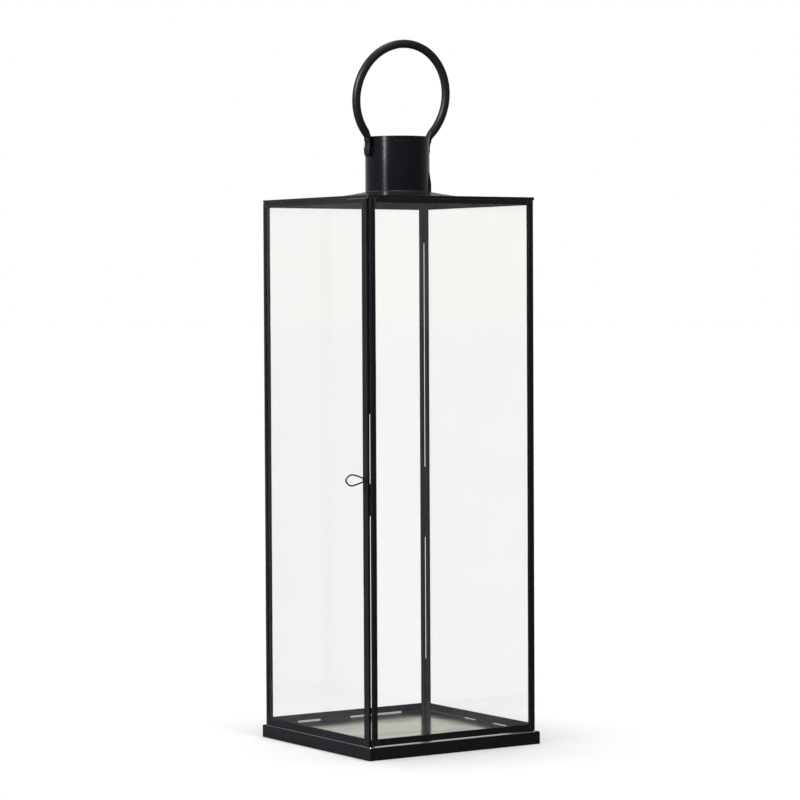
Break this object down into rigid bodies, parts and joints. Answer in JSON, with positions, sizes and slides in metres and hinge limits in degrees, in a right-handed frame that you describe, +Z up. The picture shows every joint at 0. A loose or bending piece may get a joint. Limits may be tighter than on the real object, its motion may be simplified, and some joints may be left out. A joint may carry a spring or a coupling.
{
  "type": "candle lantern",
  "caption": "Tall square lantern with glass sides, a hinged glazed door with a wire pull, a short round chimney and a swinging carrying ring.",
  "frame": {"origin": "centre of the base tray's underside", "axes": "+Z up; the door is the -Y face and its hinge is at the -X side; the carrying ring stands in the plane of Y and Z"},
  "size_m": [0.2, 0.2205, 0.6938],
  "materials": {
    "black_metal": "satin black paint on thin sheet",
    "black_bar": "satin black paint on round bar",
    "black_wire": "satin black paint on wire",
    "bright_floor": "polished sheet with a faint drawn grain",
    "solder": "black paint over solder",
    "clear_glass": "clear float glass"
  },
  "bodies": {
    "lantern": {"base_tray": "black_metal", "floor_plate": "bright_floor", "panel_feet": "solder", "right_stile_a": "black_metal", "right_stile_b": "black_metal", "right_rail_lower": "black_metal", "right_rail_upper": "black_metal", "right_glass": "clear_glass", "back_stile_a": "black_metal", "back_stile_b": "black_metal", "back_rail_lower": "black_metal", "back_rail_upper": "black_metal", "back_glass": "clear_glass", "left_stile_a": "black_metal", "left_stile_b": "black_metal", "left_rail_lower": "black_metal", "left_rail_upper": "black_metal", "left_glass": "clear_glass", "corner_angles_lower": "black_metal", "corner_angles_upper": "black_metal", "corner_angle_middle": "black_metal", "door_stop_upper": "black_metal", "door_stop_middle": "black_metal", "door_stop_lower": "black_metal", "hinge_pin_lower": "black_wire", "hinge_pin_upper": "black_wire", "roof_panel": "black_metal", "chimney_tube": "black_metal", "chimney_lug": "solder", "ring_rivets": "black_bar", "ring_washers": "black_bar"},
    "door": {"door_hinge_stile": "black_metal", "door_latch_stile": "black_metal", "door_rail_lower": "black_metal", "door_rail_upper": "black_metal", "door_glass": "clear_glass", "pull_plate": "black_wire"},
    "pull": {"wire_pull": "black_wire"},
    "ring": {"ring_handle": "black_bar"}
  },
  "joints": [
    {"name": "door_hinge", "type": "hinge", "parent": "lantern", "child": "door", "pos_m": [-0.0956, -0.096, 0.2738], "axis": [0, 0, -1], "range_deg": [0, 180]},
    {"name": "pull_turn", "type": "hinge", "parent": "door", "child": "pull", "pos_m": [0.0919, -0.0974, 0.2676], "axis": [0, -1, 0], "continuous": true},
    {"name": "ring_swing", "type": "hinge", "parent": "lantern", "child": "ring", "pos_m": [0, 0, 0.586], "axis": [0, 1, 0], "range_deg": [-123, 105]}
  ]
}
